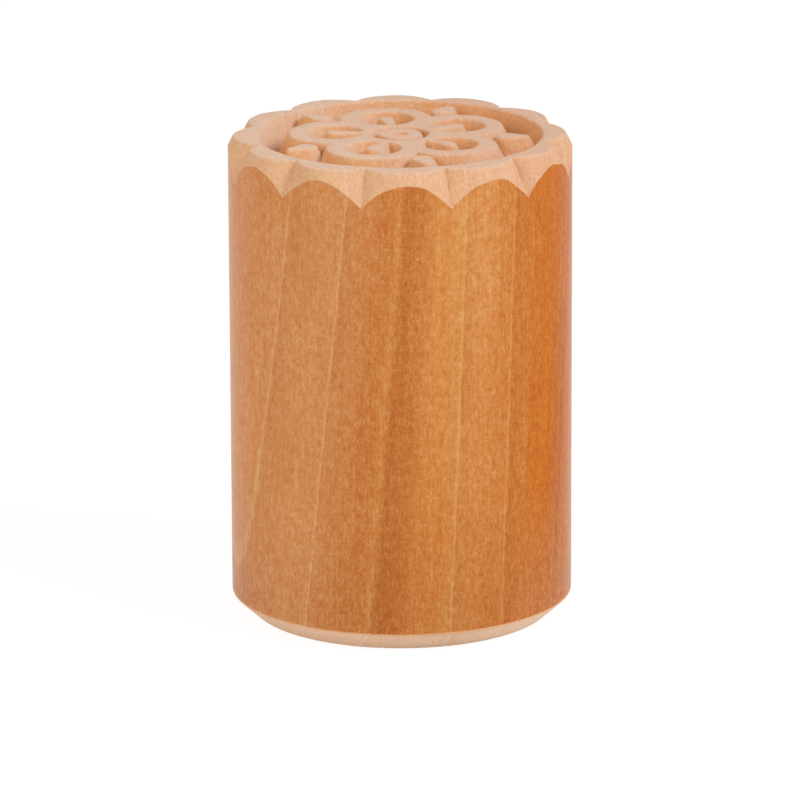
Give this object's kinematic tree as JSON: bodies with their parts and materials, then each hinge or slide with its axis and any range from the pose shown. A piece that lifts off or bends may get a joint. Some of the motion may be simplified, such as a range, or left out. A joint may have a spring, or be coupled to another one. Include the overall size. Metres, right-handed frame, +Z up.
{
  "type": "wooden mooncake mold",
  "caption": "Turned wooden cylinder with a scalloped rim and a blossom in relief in a round recess, pressed on dough to mark or shape its top.",
  "frame": {"origin": "centre of the foot, the flat face that it stands on", "axes": "+Z up along the turned axis towards the carved face, +Y through the middle of a lobe of the rim, -Y the front"},
  "size_m": [0.035, 0.035, 0.05],
  "materials": {
    "wood": "satin orange-brown varnish on the turned side, bare pale wood on the carved face, the chamfer and the foot"
  },
  "bodies": {
    "root": {"mooncake_stamp": "wood"}
  },
  "joints": []
}
